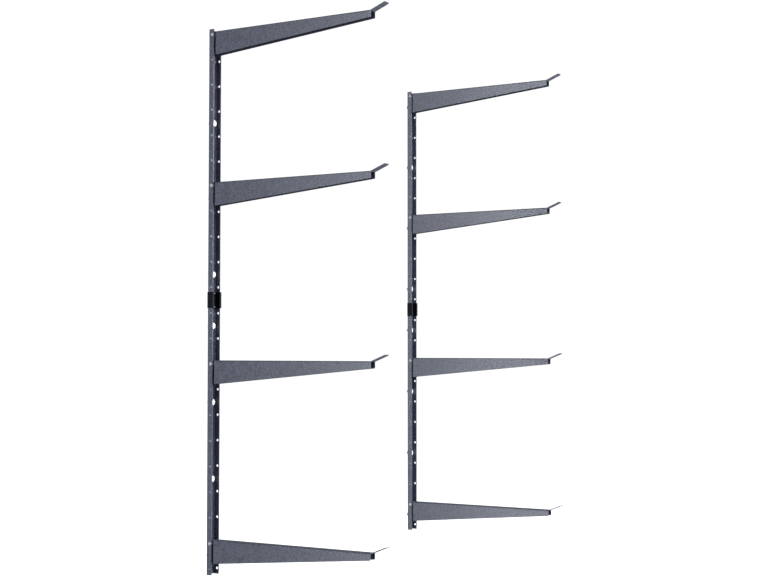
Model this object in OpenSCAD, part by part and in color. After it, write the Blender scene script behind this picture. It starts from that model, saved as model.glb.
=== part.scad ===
// Wall-mounted cantilever rack for bar stock and timber.
// Two uprights stand on a wall, and four arms reach out of each.
// X runs along the wall, +Y into the wall and +Z up, and the arms point to -Y.
// The origin is on the wall plane, midway between the uprights, level with the splices.

/* [Layout] */
// Distance between the centre lines of the two uprights
rack_spacing = 1219.2; // [300:0.1:2400]
// Pitch of the row of holes in an upright
hole_pitch = 76.2; // [76.2:0.1:100]
// Holes that carry an arm, counted down from 0 at the top hole
arm_holes = [0, 6, 13, 20];

/* [Upright channel] */
// Overall width of the channel
channel_w = 38.1; // [36:0.1:50]
// Overall depth of the channel, from the wall to the free edges
channel_d = 19; // [18.6:0.1:26]
// Thickness of the channel's sheet
channel_t = 2.5; // [1.5:0.1:2.6]
// Outer radius of the channel's bends
channel_bend_r = 4; // [3:0.1:5]
// Diameter of the holes along both flanges
flange_hole_d = 7.5; // [7:0.1:8]
// Distance of the flange holes and the arm bolts from the wall
bolt_line = 12.7; // [12.6:0.1:13.5]
// Metal beyond the last hole at the outer end of an upright
end_margin = 17; // [8:0.5:35]
// Distance between the two holes on either side of the splice
splice_step = 78; // [72:0.5:90]
// Gap between the two lengths of an upright at the splice
splice_gap = 1.6; // [0.2:0.1:6]

/* [Splice clip] */
// Height of the clip that joins the two lengths
clip_h = 48; // [46:1:60]
// Wall thickness of the clip
clip_t = 2.5; // [1.5:0.1:2.5]
// Height of the clip screws above and below the middle of the clip
clip_screw_z = 20; // [10:0.5:20]
// Distance of the clip screws from the middle of the web, to both sides
clip_screw_x = 8; // [5:0.1:8.5]
// Diameter of the clip screw heads
clip_head_d = 5; // [4.5:0.1:5.5]

/* [Arm] */
// Width of an arm over its side walls
arm_w = 26; // [25:0.5:27]
// Thickness of the arm's sheet
arm_t = 2; // [1.5:0.1:2.2]
// Outer radius of the bends between the top and the side walls
arm_bend_r = 3; // [2.5:0.1:4]
// Reach of the side walls, from the bolt to their front ends
arm_reach = 553; // [200:1:600]
// Height of the arm's top face above the bolt
arm_top = 10.7; // [10.2:0.1:12]
// Depth of the side walls below the bolt, at the wall end
root_drop = 62; // [55:0.5:64]
// Depth of the side walls below the bolt, at the front end
tip_drop = 9.8; // [6:0.1:20]
// Radius of the lower corner at the wall end
root_corner_r = 9; // [6:0.5:12]
// Radius of the lower corner at the front end
tip_corner_r = 3; // [1:0.1:4]
// Length of the raised lip in front of the side walls
lip_length = 50; // [20:1:80]
// Angle of the lip above the top face
lip_angle = 22; // [5:1:40]

/* [Arm bolt] */
// Diameter of the bolt that carries an arm
bolt_d = 6.35; // [5.5:0.05:6.5]
// Length of the bolt under its head
bolt_length = 50.8; // [50:0.1:60]
// Diameter of the bolt's round head
bolt_head_d = 10.5; // [9.5:0.1:12]
// Height of the bolt's round head
bolt_head_h = 3.2; // [2.5:0.1:3.6]
// Width of the lock nut across its flats
nut_width = 11.1; // [10:0.1:12]
// Height of the hexagonal part of the nut
nut_h = 5.6; // [4:0.1:6]
// Outer diameter of the washer under the nut
washer_d = 16; // [14:0.5:18]
// Thickness of the washer under the nut
washer_t = 1.2; // [0.8:0.1:2]
// Outer diameter of the bushes beside the arm
bush_d = 11; // [9.5:0.1:12]

/* [Wall bolt] */
// Diameter of the thread that enters the wall
wall_bolt_d = 9.5; // [8:0.1:10]
// Diameter of the plain neck in the web and the washer
wall_neck_d = 10.1; // [8.4:0.1:10.5]
// Length of the thread behind the wall plane
wall_bolt_stub = 10; // [5:0.5:12]
// Width of the hexagonal head across its flats
wall_head_width = 16.8; // [13:0.1:17.5]
// Height of the hexagonal head
wall_head_h = 5.5; // [4:0.1:6]
// Outer diameter of the washer under the head
wall_washer_d = 20; // [16:0.5:21]
// Thickness of the washer under the head
wall_washer_t = 1.6; // [1:0.1:2]

/* [Hidden] */
SIDES = ["left", "right"];
HALVES = ["upper", "lower"];
LEVELS = [for (i = [0 : len(arm_holes) - 1]) i + 1];
UPRIGHT_NODES = [
    for (side = SIDES, half = HALVES, piece = ["channel", "wall_bolts", "wall_washers"])
        str(side, "_", half, "_", piece)
];
SPLICE_NODES = [for (side = SIDES, piece = ["splice_clip", "clip_screws"]) str(side, "_", piece)];
ARM_NODES = [
    for (side = SIDES, level = LEVELS, piece = ["arm", "arm_bolt", "arm_nut", "arm_washer", "arm_bushes"])
        str(side, "_", piece, "_", level)
];

$fn = 64;
eps = 0.01;
last_hole = 10;
web_screw_step = 3;
segment_top = splice_step / 2 + last_hole * hole_pitch + end_margin;
segment_bottom = splice_gap / 2;
inner_w = channel_w - 2 * channel_t;
running_fit = 0.06;
loose_fit = 0.4;
arm_gap = 0.3;
root_back = bolt_line - channel_t - arm_gap;
side_gap = (inner_w - arm_w) / 2;
bush_play = 0.2;
bush_length = side_gap - bush_play;
clip_hole_d = 3.4;
clip_shank_d = 3;
clip_back = 1.5;
hex_to_round = 2 / sqrt(3);
shaft_overlap = 1;
slope = atan((root_drop - tip_drop) / (arm_reach + root_back));
steel_grey = [0.38, 0.40, 0.45];
arm_grey = [0.40, 0.41, 0.44];
clip_black = [0.13, 0.13, 0.14];
zinc = [0.86, 0.87, 0.88];

// Height of a hole of the whole upright, with holes 11 and up in the lower length
function hole_z(index) =
    index <= last_hole
        ? splice_step / 2 + (last_hole - index) * hole_pitch
        : -splice_step / 2 - (index - last_hole - 1) * hole_pitch;

// Heights of the wall bolts in the upper length: halfway between flange holes, in every third space
wall_bolt_heights = [for (i = [0 : web_screw_step : last_hole]) hole_z(i + 0.5)];

function side_x(side) = (side == "left" ? -1 : 1) * rack_spacing / 2;

// Places its children at one upright, turned over for the lower length
module at_upright(side, half) {
    translate([side_x(side), 0, 0])
        rotate([0, half == "lower" ? 180 : 0, 0])
            children();
}

// Places its children at one arm bolt: local Z is along the bolt, from its head to its nut
module at_bolt(side, level) {
    translate([side_x(side), -bolt_line, hole_z(arm_holes[level - 1])])
        rotate([0, 90, 0])
            children();
}

// Outline of a U whose base is at y = 0 and whose legs point to -Y
module u_outline(width, depth, corner_r) {
    translate([-width / 2, -depth])
        square([width, depth - corner_r]);
    translate([-(width / 2 - corner_r), -2 * corner_r])
        square([width - 2 * corner_r, 2 * corner_r]);
    for (s = [-1, 1])
        translate([s * (width / 2 - corner_r), -corner_r])
            circle(r = corner_r);
}

// A U of sheet, open towards -Y
module u_section(width, depth, sheet, bend_r) {
    difference() {
        u_outline(width, depth, bend_r);
        translate([0, -sheet])
            u_outline(width - 2 * sheet, depth, bend_r - sheet);
    }
}

// Hexagonal prism with a chamfered top face
module hex_block(width, height, chamfer) {
    intersection() {
        cylinder(d = width * hex_to_round, h = height, $fn = 6);
        cylinder(d1 = width + 2 * height + chamfer, d2 = width - chamfer, h = height);
    }
}

// Flat ring on the XY plane
module ring(outer_d, inner_d, height) {
    difference() {
        cylinder(d = outer_d, h = height);
        translate([0, 0, -eps])
            cylinder(d = inner_d, h = height + 2 * eps);
    }
}

// One length of the upright, in the upper position
module channel(side, half) {
    color(steel_grey)
        at_upright(side, half)
            difference() {
                translate([0, 0, segment_bottom])
                    linear_extrude(segment_top - segment_bottom)
                        u_section(channel_w, channel_d, channel_t, channel_bend_r);
                for (i = [0 : last_hole])
                    translate([-channel_w, -bolt_line, hole_z(i)])
                        rotate([0, 90, 0])
                            cylinder(d = flange_hole_d, h = 2 * channel_w);
                for (z = wall_bolt_heights)
                    web_hole(0, z, wall_neck_d + loose_fit);
                for (x = [-clip_screw_x, clip_screw_x])
                    web_hole(x, clip_screw_z, clip_hole_d);
            }
}

// Round hole through the web of the channel
module web_hole(x, z, diameter) {
    translate([x, eps, z])
        rotate([90, 0, 0])
            cylinder(d = diameter, h = channel_t + 2 * eps);
}

// The hexagonal bolts that hold one length of the upright to the wall
module wall_bolts(side, half) {
    head_seat = channel_t + wall_washer_t;
    head_chamfer = 0.6;
    color(zinc)
        at_upright(side, half)
            for (z = wall_bolt_heights)
                translate([0, -head_seat, z])
                    rotate([90, 30, 0]) {
                        hex_block(wall_head_width, wall_head_h, head_chamfer);
                        translate([0, 0, -head_seat])
                            cylinder(d = wall_neck_d, h = head_seat + shaft_overlap);
                        translate([0, 0, -head_seat - wall_bolt_stub])
                            cylinder(d = wall_bolt_d, h = wall_bolt_stub + shaft_overlap);
                    }
}

// The flat washers under the wall bolts' heads
module wall_washers(side, half) {
    color(zinc)
        at_upright(side, half)
            for (z = wall_bolt_heights)
                translate([0, -channel_t, z])
                    rotate([90, 0, 0])
                        ring(wall_washer_d, wall_neck_d + loose_fit, wall_washer_t);
}

// The clip grips both flanges inside and out, and lies on the web inside the channel
module splice_clip(side) {
    color(clip_black)
        translate([side_x(side), 0, -clip_h / 2])
            difference() {
                linear_extrude(clip_h)
                    clip_section();
                for (x = [-clip_screw_x, clip_screw_x], z = [-clip_screw_z, clip_screw_z])
                    translate([x, 0, clip_h / 2 + z])
                        rotate([90, 0, 0])
                            cylinder(d = clip_hole_d, h = channel_t + clip_t + eps);
            }
}

// Outline of the clip across the upright, with grooves for the channel's flanges
module clip_section() {
    outer_w = channel_w + 2 * clip_t;
    inner_bend_r = 1;
    difference() {
        translate([-outer_w / 2, -(channel_d + clip_t)])
            square([outer_w, channel_d + clip_t - clip_back]);
        intersection() {
            u_outline(channel_w, channel_d, channel_bend_r);
            difference() {
                translate([-channel_w, -channel_d])
                    square([2 * channel_w, channel_d]);
                translate([0, -channel_t])
                    u_outline(inner_w, 2 * channel_d, channel_bend_r - channel_t);
            }
        }
        translate([0, -(channel_t + clip_t)])
            u_outline(inner_w - 2 * clip_t, 2 * channel_d, inner_bend_r);
    }
}

// Two small screws into each length of the upright
module clip_screws(side) {
    head_seat = channel_t + clip_t;
    head_h = 2.5;
    tip_clearance = 0.3;
    color(zinc)
        for (x = [-clip_screw_x, clip_screw_x], z = [-clip_screw_z, clip_screw_z])
            translate([side_x(side) + x, -head_seat, z])
                rotate([90, 0, 0]) {
                    round_head(clip_head_d, head_h);
                    translate([0, 0, -head_seat + tip_clearance])
                        cylinder(d = clip_shank_d, h = head_seat);
                }
}

// Domed head that stands on the XY plane, with a hexagonal socket
module round_head(diameter, height) {
    rim_h = 0.25 * height;
    socket_depth = 0.45 * height;
    socket_w = 0.42 * diameter;
    cap_h = height - rim_h;
    dome_r = (pow(diameter / 2, 2) + cap_h * cap_h) / (2 * cap_h);
    difference() {
        intersection() {
            cylinder(d = diameter, h = height);
            translate([0, 0, height - dome_r])
                sphere(r = dome_r);
        }
        translate([0, 0, height - socket_depth])
            cylinder(d = socket_w, h = height, $fn = 6);
    }
}

// A tapered channel that is open downwards and at both ends, with a raised lip
module arm(side, level) {
    color(arm_grey)
        translate([side_x(side), -bolt_line, hole_z(arm_holes[level - 1])])
            difference() {
                union() {
                    intersection() {
                        rotate([90, 0, -90])
                            linear_extrude(arm_w, center = true)
                                arm_side_view();
                        translate([0, root_back, arm_top])
                            rotate([90, 0, 0])
                                linear_extrude(root_back + arm_reach + 1)
                                    arm_front_view();
                    }
                    arm_lip();
                }
                translate([-arm_w, 0, 0])
                    rotate([0, 90, 0])
                        cylinder(r = bolt_d / 2 + running_fit, h = 2 * arm_w);
            }
}

// Side outline: X is the distance in front of the bolt and Y the height above it
module arm_side_view() {
    shoulder_r = 8;
    root = corner_centre(root_corner_r - root_back, root_corner_r);
    tip = corner_centre(arm_reach - tip_corner_r, tip_corner_r);
    circle(r = root_back);
    translate([shoulder_r, arm_top - shoulder_r])
        circle(r = shoulder_r);
    translate(root)
        circle(r = root_corner_r);
    translate(tip)
        circle(r = tip_corner_r);
    polygon([
        [-root_back, 0],
        [-root_back, root.y],
        root + root_corner_r * [sin(slope), -cos(slope)],
        tip + tip_corner_r * [sin(slope), -cos(slope)],
        [arm_reach, tip.y],
        [arm_reach, arm_top],
        [shoulder_r, arm_top],
        [shoulder_r, 0],
    ]);
}

// Centre, at a distance in front of the bolt, of a round that touches the side walls' lower edge
function corner_centre(x, radius) =
    [x, -tip_drop - (arm_reach - x) * tan(slope) + radius / cos(slope)];

// Front outline: the top face is at y = 0 and the walls hang down
module arm_front_view() {
    u_section(arm_w, arm_top + root_drop + 1, arm_t, arm_bend_r);
}

// The top sheet runs on past the side walls and bends up
module arm_lip() {
    corner_r = 4;
    overlap = 1.5;
    translate([0, -arm_reach, arm_top - arm_t])
        rotate([-lip_angle, 0, 0])
            translate([0, overlap, 0])
                linear_extrude(arm_t) {
                    translate([-arm_w / 2, -(lip_length + overlap - corner_r)])
                        square([arm_w, lip_length + overlap - corner_r]);
                    translate([-(arm_w / 2 - corner_r), -(lip_length + overlap)])
                        square([arm_w - 2 * corner_r, corner_r + eps]);
                    for (s = [-1, 1])
                        translate([s * (arm_w / 2 - corner_r), -(lip_length + overlap - corner_r)])
                            circle(r = corner_r);
                }
}

// The bolt that an arm hangs on, through both flanges
module arm_bolt(side, level) {
    tip_chamfer = 0.8;
    head_overlap = 0.5;
    color(zinc)
        at_bolt(side, level)
            translate([0, 0, -channel_w / 2]) {
                rotate([180, 0, 0])
                    round_head(bolt_head_d, bolt_head_h);
                translate([0, 0, -head_overlap])
                    cylinder(d = bolt_d, h = bolt_length - tip_chamfer + head_overlap);
                translate([0, 0, bolt_length - tip_chamfer])
                    cylinder(d1 = bolt_d, d2 = bolt_d - 2 * tip_chamfer, h = tip_chamfer);
            }
}

// Lock nut with a round collar on its outer side
module arm_nut(side, level) {
    collar_h = 1.9;
    collar_d = nut_width - 1.2;
    nut_chamfer = 0.5;
    bore_r = bolt_d / 2 + running_fit;
    color(zinc)
        at_bolt(side, level)
            translate([0, 0, channel_w / 2 + washer_t])
                difference() {
                    union() {
                        hex_block(nut_width, nut_h, nut_chamfer);
                        cylinder(d = collar_d, h = nut_h + collar_h);
                    }
                    translate([0, 0, -eps])
                        cylinder(r = bore_r, h = nut_h + collar_h + 1);
                }
}

module arm_washer(side, level) {
    color(zinc)
        at_bolt(side, level)
            translate([0, 0, channel_w / 2])
                ring(washer_d, bolt_d + loose_fit, washer_t);
}

// The two bushes that keep the arm in the middle of the channel
module arm_bushes(side, level) {
    color(zinc)
        at_bolt(side, level)
            for (z = [-inner_w / 2, inner_w / 2 - bush_length])
                translate([0, 0, z])
                    ring(bush_d, bolt_d + loose_fit, bush_length);
}

for (side = SIDES, half = HALVES) {
    channel(side, half);
    wall_bolts(side, half);
    wall_washers(side, half);
}
for (side = SIDES) {
    splice_clip(side);
    clip_screws(side);
}
for (side = SIDES, level = LEVELS) {
    arm(side, level);
    arm_bolt(side, level);
    arm_nut(side, level);
    arm_washer(side, level);
    arm_bushes(side, level);
}
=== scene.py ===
"""Looks of the wall-mounted cantilever rack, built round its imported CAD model."""

import math

import bmesh
import bpy
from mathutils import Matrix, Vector


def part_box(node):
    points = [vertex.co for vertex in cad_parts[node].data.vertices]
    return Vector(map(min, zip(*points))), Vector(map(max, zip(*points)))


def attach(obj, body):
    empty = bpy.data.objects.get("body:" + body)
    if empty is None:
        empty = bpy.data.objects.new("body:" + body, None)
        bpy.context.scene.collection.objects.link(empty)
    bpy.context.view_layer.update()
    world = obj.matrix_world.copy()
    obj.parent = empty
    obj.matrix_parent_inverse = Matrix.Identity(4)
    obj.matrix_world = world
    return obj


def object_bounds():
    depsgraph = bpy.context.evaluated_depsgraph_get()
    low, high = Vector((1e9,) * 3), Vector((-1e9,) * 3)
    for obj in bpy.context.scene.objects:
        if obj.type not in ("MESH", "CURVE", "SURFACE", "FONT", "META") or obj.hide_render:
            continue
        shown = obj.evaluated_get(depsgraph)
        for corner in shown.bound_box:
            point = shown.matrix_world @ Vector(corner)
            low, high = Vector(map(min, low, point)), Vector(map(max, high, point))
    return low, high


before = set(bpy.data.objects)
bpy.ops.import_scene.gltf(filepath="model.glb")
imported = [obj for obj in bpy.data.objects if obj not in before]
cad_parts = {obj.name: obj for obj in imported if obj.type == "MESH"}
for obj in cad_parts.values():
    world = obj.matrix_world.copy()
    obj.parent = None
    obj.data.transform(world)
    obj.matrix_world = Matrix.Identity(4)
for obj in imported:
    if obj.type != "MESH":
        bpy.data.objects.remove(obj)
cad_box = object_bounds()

MM = 0.001
UPRIGHTS = "uprights"

# Linear colours of the finishes
SLATE_DARK = (0.078, 0.086, 0.128, 1)
SLATE_LIGHT = (0.170, 0.184, 0.250, 1)
ARM_DARK = (0.068, 0.073, 0.104, 1)
ARM_LIGHT = (0.190, 0.202, 0.264, 1)
BLACK_DARK = (0.005, 0.006, 0.009, 1)
BLACK_LIGHT = (0.012, 0.014, 0.020, 1)
ZINC_DARK = (0.62, 0.63, 0.65, 1)
ZINC_LIGHT = (0.93, 0.94, 0.95, 1)

# Width of the dimples in the paint of the channels and of the arms
CHANNEL_CELL = 3.6 * MM
ARM_CELL = 4 * MM

# Width of the broken edges of sheet metal and of small parts
SHEET_EDGE = 0.3 * MM
SMALL_EDGE = 0.15 * MM

# Vertices of a CAD node closer than this are one
WELD_GAP = 0.002 * MM

# Screw threads: radius of the bolt, height of the ridge that is wound round it, distance between turns
WALL_THREAD = {"core": 4.75 * MM, "height": 0.55 * MM, "pitch": 2.6 * MM}
ARM_THREAD = {"core": 3.175 * MM, "height": 0.22 * MM, "pitch": 1.27 * MM}

# Colours of light
WHITE = (1, 1, 1)
COOL_WHITE = (0.87, 0.91, 1)


# ---------------------------------------------------------------- node helpers

def add(tree, kind, values=None, **settings):
    """A new node of a kind, with its settings and the values of its input sockets."""
    made = tree.nodes.new(kind)
    for name, value in settings.items():
        setattr(made, name, value)
    for name, value in (values or {}).items():
        made.inputs[name].default_value = value
    return made


def join(tree, source, output, target, socket):
    """A link from an output of one node to an input of another."""
    tree.links.new(source.outputs[output], target.inputs[socket])


def empty_material(name):
    """A material with only a Principled shader, its node tree, and that shader."""
    material = bpy.data.materials.new(name)
    material.use_nodes = True
    tree = material.node_tree
    tree.nodes.clear()
    shader = add(tree, "ShaderNodeBsdfPrincipled")
    out = add(tree, "ShaderNodeOutputMaterial")
    join(tree, shader, "BSDF", out, "Surface")
    return material, tree, shader


def noise(tree, place, scale, detail, roughness=0.5):
    """Noise over the piece's own coordinates."""
    made = add(tree, "ShaderNodeTexNoise", {"Scale": scale, "Detail": detail, "Roughness": roughness})
    join(tree, place, "Object", made, "Vector")
    return made


def ramp(tree, source, output, stops):
    """A colour ramp between two stops of (position, colour)."""
    made = add(tree, "ShaderNodeValToRGB")
    for element, (position, colour) in zip(made.color_ramp.elements, stops):
        element.position = position
        element.color = colour
    join(tree, source, output, made, "Fac")
    return made


def spread(tree, source, output, low, high, to_low, to_high):
    """A value moved from one range into another."""
    made = add(
        tree,
        "ShaderNodeMapRange",
        {"From Min": low, "From Max": high, "To Min": to_low, "To Max": to_high},
    )
    join(tree, source, output, made, "Value")
    return made


def weighted_sum(tree, source, output, weight, base, base_output):
    """A value times a weight, plus a second value."""
    made = add(tree, "ShaderNodeMath", operation="MULTIPLY_ADD")
    join(tree, source, output, made, 0)
    made.inputs[1].default_value = weight
    join(tree, base, base_output, made, 2)
    return made


def bump(tree, source, output, strength, depth, under=None):
    """A bump of a depth in metres, laid over another bump if there is one under it."""
    made = add(tree, "ShaderNodeBump", {"Strength": strength, "Distance": depth})
    join(tree, source, output, made, "Height")
    if under:
        join(tree, under, "Normal", made, "Normal")
    return made


# ---------------------------------------------------------------- materials

def dimple_cells(tree, place, cell):
    """Round cells about a cell wide, bent out of line by a slow noise."""
    wobble_scale = 0.6 / cell
    wobble_reach = 0.8 * cell
    wobble = noise(tree, place, wobble_scale, 3.0)
    bent = add(tree, "ShaderNodeVectorMath", operation="MULTIPLY_ADD")
    join(tree, wobble, "Color", bent, 0)
    bent.inputs[1].default_value = (wobble_reach,) * 3
    join(tree, place, "Object", bent, 2)
    cells = add(
        tree,
        "ShaderNodeTexVoronoi",
        {"Scale": 1 / cell, "Smoothness": 0.6},
        feature="SMOOTH_F1",
    )
    join(tree, bent, "Vector", cells, "Vector")
    return cells


def hammertone(name, dark, light, cell):
    """Hammered enamel: dimples about a cell wide, with the pigment drawn to their rims."""
    cloud_scale = 0.35 / cell
    flake_scale = 4 / cell
    rim_weight = -0.7
    flake_weight = 0.25
    material, tree, shader = empty_material(name)
    place = add(tree, "ShaderNodeTexCoord")
    dimples = dimple_cells(tree, place, cell)
    clouds = noise(tree, place, cloud_scale, 4.0, 0.6)
    flakes = noise(tree, place, flake_scale, 2.0)

    drift = spread(tree, clouds, "Fac", 0.0, 1.0, 0.25, 0.75)
    tone = weighted_sum(tree, dimples, "Distance", rim_weight, drift, "Result")
    glitter = weighted_sum(tree, flakes, "Fac", flake_weight, tone, "Value")
    colour = ramp(tree, glitter, "Value", [(0.12, dark), (0.68, light)])
    join(tree, colour, "Color", shader, "Base Color")

    gloss = spread(tree, clouds, "Fac", 0.3, 0.7, 0.27, 0.34)
    join(tree, gloss, "Result", shader, "Roughness")
    shader.inputs["Coat Weight"].default_value = 0.15
    shader.inputs["Coat Roughness"].default_value = 0.12

    dents = bump(tree, dimples, "Distance", 0.6, 0.25 * MM)
    grain = bump(tree, flakes, "Fac", 0.25, 0.05 * MM, dents)
    join(tree, grain, "Normal", shader, "Normal")
    return material


def satin_black(name):
    """Moulded black finish with a fine grain."""
    cloud_scale = 70.0
    grain_scale = 1400.0
    material, tree, shader = empty_material(name)
    place = add(tree, "ShaderNodeTexCoord")
    clouds = noise(tree, place, cloud_scale, 3.0)
    grain = noise(tree, place, grain_scale, 3.0)
    colour = ramp(tree, clouds, "Fac", [(0.3, BLACK_DARK), (0.7, BLACK_LIGHT)])
    join(tree, colour, "Color", shader, "Base Color")
    gloss = spread(tree, clouds, "Fac", 0.3, 0.7, 0.55, 0.65)
    join(tree, gloss, "Result", shader, "Roughness")
    shader.inputs["Specular IOR Level"].default_value = 0.1
    pores = bump(tree, grain, "Fac", 0.35, 0.08 * MM)
    join(tree, pores, "Normal", shader, "Normal")
    return material


def bright_zinc(name, roughness, metallic):
    """Zinc plate: bright metal with faint clouds and fine tumbling marks."""
    cloud_scale = 450.0
    mark_scale = 2600.0
    polished = roughness - 0.07
    worn = roughness + 0.09
    material, tree, shader = empty_material(name)
    place = add(tree, "ShaderNodeTexCoord")
    clouds = noise(tree, place, cloud_scale, 4.0)
    marks = noise(tree, place, mark_scale, 2.0)
    colour = ramp(tree, clouds, "Fac", [(0.3, ZINC_DARK), (0.6, ZINC_LIGHT)])
    join(tree, colour, "Color", shader, "Base Color")
    gloss = spread(tree, clouds, "Fac", 0.3, 0.7, polished, worn)
    join(tree, gloss, "Result", shader, "Roughness")
    shader.inputs["Metallic"].default_value = metallic
    dents = bump(tree, marks, "Fac", 0.2, 0.03 * MM)
    join(tree, dents, "Normal", shader, "Normal")
    return material


# ---------------------------------------------------------------- CAD nodes

def kind(node):
    """What a node is, without its side, half and level: left_upper_channel is a channel."""
    places = ("left", "right", "upper", "lower")
    words = [word for word in node.split("_") if word not in places and not word.isdigit()]
    return "_".join(words)


def dress(node, material, edge):
    """Gives a CAD node its material, and breaks its sharp edges by edge metres."""
    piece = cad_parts[node]
    piece.data.materials.clear()
    piece.data.materials.append(material)
    weld = piece.modifiers.new("weld", "WELD")
    weld.merge_threshold = WELD_GAP
    bevel = piece.modifiers.new("edges", "BEVEL")
    bevel.width = edge
    bevel.segments = 2
    bevel.limit_method = "ANGLE"
    bevel.angle_limit = math.radians(40)
    bevel.harden_normals = True


def dress_all():
    """Gives every CAD node its finish, and the bolts their threads."""
    upright_paint = hammertone("upright_hammertone", SLATE_DARK, SLATE_LIGHT, CHANNEL_CELL)
    arm_paint = hammertone("arm_hammertone", ARM_DARK, ARM_LIGHT, ARM_CELL)
    black = satin_black("clip_black")
    zinc = bright_zinc("zinc_plate", 0.34, 0.4)
    washer_zinc = bright_zinc("washer_zinc", 0.36, 0.4)
    head_zinc = bright_zinc("head_zinc", 0.5, 0.15)
    finishes = {
        "channel": (upright_paint, SHEET_EDGE),
        "arm": (arm_paint, SHEET_EDGE),
        "splice_clip": (black, SHEET_EDGE),
        "wall_washers": (washer_zinc, SMALL_EDGE),
        "arm_washer": (washer_zinc, SMALL_EDGE),
        "arm_bushes": (washer_zinc, SMALL_EDGE),
        "arm_bolt": (head_zinc, SMALL_EDGE),
        "clip_screws": (head_zinc, SMALL_EDGE),
        "wall_bolts": (zinc, SMALL_EDGE),
        "arm_nut": (zinc, SMALL_EDGE),
    }
    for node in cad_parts:
        material, edge = finishes[kind(node)]
        dress(node, material, edge)
    thread_bolts(zinc)


# ---------------------------------------------------------------- threads

def shells(mesh):
    """The points of each separate shell of a mesh, in the order of its vertices."""
    seen = set()
    found = []
    for first in mesh.verts:
        if first in seen:
            continue
        seen.add(first)
        waiting = [first]
        points = []
        while waiting:
            vert = waiting.pop()
            points.append(vert.co.copy())
            for edge in vert.link_edges:
                other = edge.other_vert(vert)
                if other not in seen:
                    seen.add(other)
                    waiting.append(other)
        found.append(points)
    return found


def solids(node):
    """Lowest and highest corner of each separate solid of a CAD node."""
    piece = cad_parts[node]
    mesh = bmesh.new()
    mesh.from_mesh(piece.data)
    mesh.transform(piece.matrix_world)
    bmesh.ops.remove_doubles(mesh, verts=mesh.verts, dist=WELD_GAP)
    boxes = []
    for points in shells(mesh):
        low = Vector([min(point[i] for point in points) for i in range(3)])
        high = Vector([max(point[i] for point in points) for i in range(3)])
        boxes.append((low, high))
    mesh.free()
    return boxes


def ridge(start, along, length, core, height, pitch):
    """Points and faces of a screw thread: a ridge wound round a core, faded out at both ends."""
    per_turn = 24
    fade_steps = 10
    half_width = 0.42 * pitch
    foot = core - 0.2 * MM
    steps = round(per_turn * length / pitch)
    side = along.orthogonal().normalized()
    up = along.cross(side)
    points = []
    faces = []
    for i in range(steps + 1):
        turn = 2 * math.pi * i / per_turn
        out = side * math.cos(turn) + up * math.sin(turn)
        middle = start + along * (length * i / steps)
        fade = min(1, i / fade_steps, (steps - i) / fade_steps)
        half = along * (half_width * fade)
        points.append(middle - half + out * foot)
        points.append(middle + out * (core + height * fade))
        points.append(middle + half + out * foot)
    for a in range(0, 3 * steps, 3):
        faces.append((a, a + 1, a + 4, a + 3))
        faces.append((a + 1, a + 2, a + 5, a + 4))
        faces.append((a + 2, a, a + 3, a + 5))
    return points, faces


def wall_bolt_ridges(node):
    """The threads of a node's wall bolts, on the stubs behind the wall plane."""
    end_gap = 0.6 * MM
    into_wall = Vector((0, 1, 0))
    ridges = []
    for low, high in solids(node):
        start = Vector(((low.x + high.x) / 2, end_gap, (low.z + high.z) / 2))
        length = high.y - start.y - end_gap
        ridges.append(ridge(start, into_wall, length, **WALL_THREAD))
    return ridges


def arm_bolt_ridges(node):
    """The thread of an arm bolt, on the end that stands out of its nut."""
    length = 2.9 * MM
    tip_chamfer = 0.8 * MM
    along_wall = Vector((1, 0, 0))
    low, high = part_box(node)
    start = Vector((high.x - tip_chamfer - length, (low.y + high.y) / 2, (low.z + high.z) / 2))
    return [ridge(start, along_wall, length, **ARM_THREAD)]


def add_threads(name, ridges, material):
    """One piece made of several thread ridges, fixed to the uprights."""
    points = []
    faces = []
    for ridge_points, ridge_faces in ridges:
        first = len(points)
        points.extend(ridge_points)
        faces.extend(tuple(first + i for i in face) for face in ridge_faces)
    mesh = bpy.data.meshes.new(name)
    mesh.from_pydata(points, [], faces)
    mesh.validate()
    mesh.materials.append(material)
    piece = bpy.data.objects.new(name, mesh)
    bpy.context.scene.collection.objects.link(piece)
    for polygon in mesh.polygons:
        polygon.use_smooth = True
    mesh.set_sharp_from_angle(angle=math.radians(35))
    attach(piece, UPRIGHTS)


def thread_bolts(material):
    """Threads on the ends of the wall bolts and of the arm bolts."""
    makers = {"wall_bolts": wall_bolt_ridges, "arm_bolt": arm_bolt_ridges}
    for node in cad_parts:
        if kind(node) in makers:
            ridges = makers[kind(node)](node)
            add_threads(node.replace("bolt", "thread"), ridges, material)


# ---------------------------------------------------------------- stage

def background(tree, colour, strength):
    """Even light from all around."""
    return add(tree, "ShaderNodeBackground", {"Color": (*colour, 1), "Strength": strength})


def switch(tree, rays, output, off, on):
    """One shader where a ray is of the kind that an output tells, and another where it isn't."""
    made = add(tree, "ShaderNodeMixShader")
    join(tree, rays, output, made, "Fac")
    join(tree, off, 0, made, 1)
    join(tree, on, 0, made, 2)
    return made


def make_world():
    """White to look at, and dim as a light, so that the lamps shape the object."""
    world = bpy.data.worlds.new("studio")
    bpy.context.scene.world = world
    world.use_nodes = True
    tree = world.node_tree
    tree.nodes.clear()
    rays = add(tree, "ShaderNodeLightPath")
    backdrop = background(tree, WHITE, 1.05)
    fill = background(tree, (0.90, 0.94, 1), 0.06)
    gleam = background(tree, (0.92, 0.95, 1), 0.16)
    light = switch(tree, rays, "Is Glossy Ray", fill, gleam)
    shown = switch(tree, rays, "Is Camera Ray", light, backdrop)
    out = add(tree, "ShaderNodeOutputWorld")
    join(tree, shown, "Shader", out, "Surface")


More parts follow.
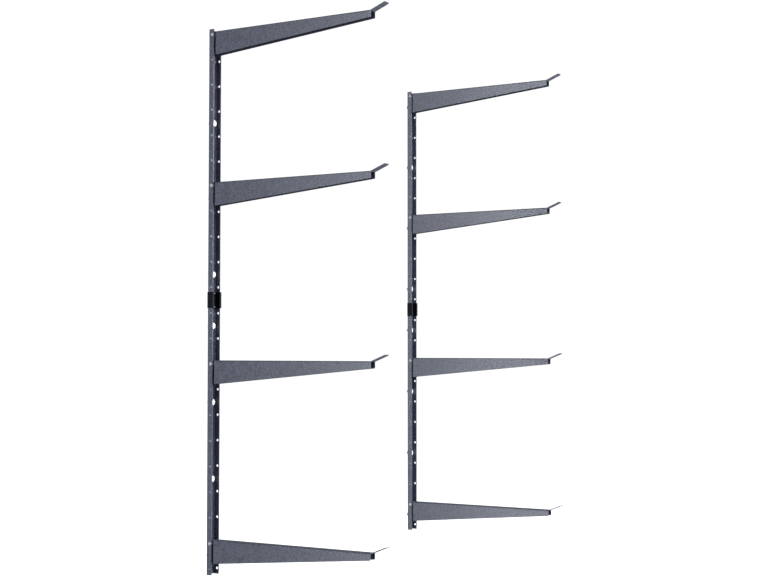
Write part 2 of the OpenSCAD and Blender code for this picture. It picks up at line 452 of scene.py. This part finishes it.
def make_floor():
    """A plain pale floor, half a metre under the rack, which adds no light or shadow to it."""
    gap = 0.5
    half = 60
    mesh = bpy.data.meshes.new("floor")
    corners = [(-half, -half, 0), (half, -half, 0), (half, half, 0), (-half, half, 0)]
    mesh.from_pydata(corners, [], [(0, 1, 2, 3)])
    floor = bpy.data.objects.new("floor", mesh)
    bpy.context.scene.collection.objects.link(floor)
    floor.location.z = cad_box[0].z - gap
    material, _, shader = empty_material("floor_white")
    shader.inputs["Base Color"].default_value = (0.85, 0.85, 0.85, 1)
    shader.inputs["Roughness"].default_value = 0.9
    shader.inputs["Emission Color"].default_value = (1, 1, 1, 1)
    shader.inputs["Emission Strength"].default_value = 1.0
    mesh.materials.append(material)
    floor.visible_diffuse = False
    floor.visible_glossy = False
    floor.visible_shadow = False


def make_lamp(name, place, power, width, height, colour=WHITE):
    """A soft box that faces the middle of the rack."""
    light = bpy.data.lights.new(name, "AREA")
    light.color = colour
    light.shape = "RECTANGLE"
    light.energy = power
    light.size = width
    light.size_y = height
    lamp = bpy.data.objects.new(name, light)
    bpy.context.scene.collection.objects.link(lamp)
    lamp.location = place
    lamp.rotation_euler = (-Vector(place)).to_track_quat("-Z", "Y").to_euler()
    lamp.visible_camera = False


def make_lamps():
    """A tall box far to the left that the painted sides reflect, and four weaker ones around it."""
    make_lamp("left_box", (-12.2, 4.4, 0.3), power=900, width=3.0, height=9.0, colour=COOL_WHITE)
    make_lamp("key_box", (3.4, -6.0, 1.6), power=560, width=2.0, height=2.0)
    make_lamp("low_box", (3.0, -5.0, -4.0), power=420, width=2.0, height=2.0)
    make_lamp("front_box", (-0.6, -6.5, 2.2), power=170, width=2.0, height=2.0)
    make_lamp("top_box", (1.6, -1.2, 6.0), power=110, width=3.0, height=3.0)


def make_camera():
    """The view that the rack is usually shown in: from the left and a little below its middle."""
    azimuth = math.radians(-59.66)
    elevation = math.radians(-2.41)
    data = bpy.data.cameras.new("camera")
    data.lens = 66.55
    data.clip_end = 200
    camera = bpy.data.objects.new("camera", data)
    bpy.context.scene.collection.objects.link(camera)
    camera.location = (-4.032, -2.605, -0.143)
    forward = Vector(
        (
            -math.sin(azimuth) * math.cos(elevation),
            math.cos(azimuth) * math.cos(elevation),
            -math.sin(elevation),
        )
    )
    camera.rotation_euler = forward.to_track_quat("-Z", "Y").to_euler()
    bpy.context.scene.camera = camera


bpy.context.scene.view_settings.view_transform = "Standard"
make_camera()
make_world()
make_floor()
make_lamps()
dress_all()
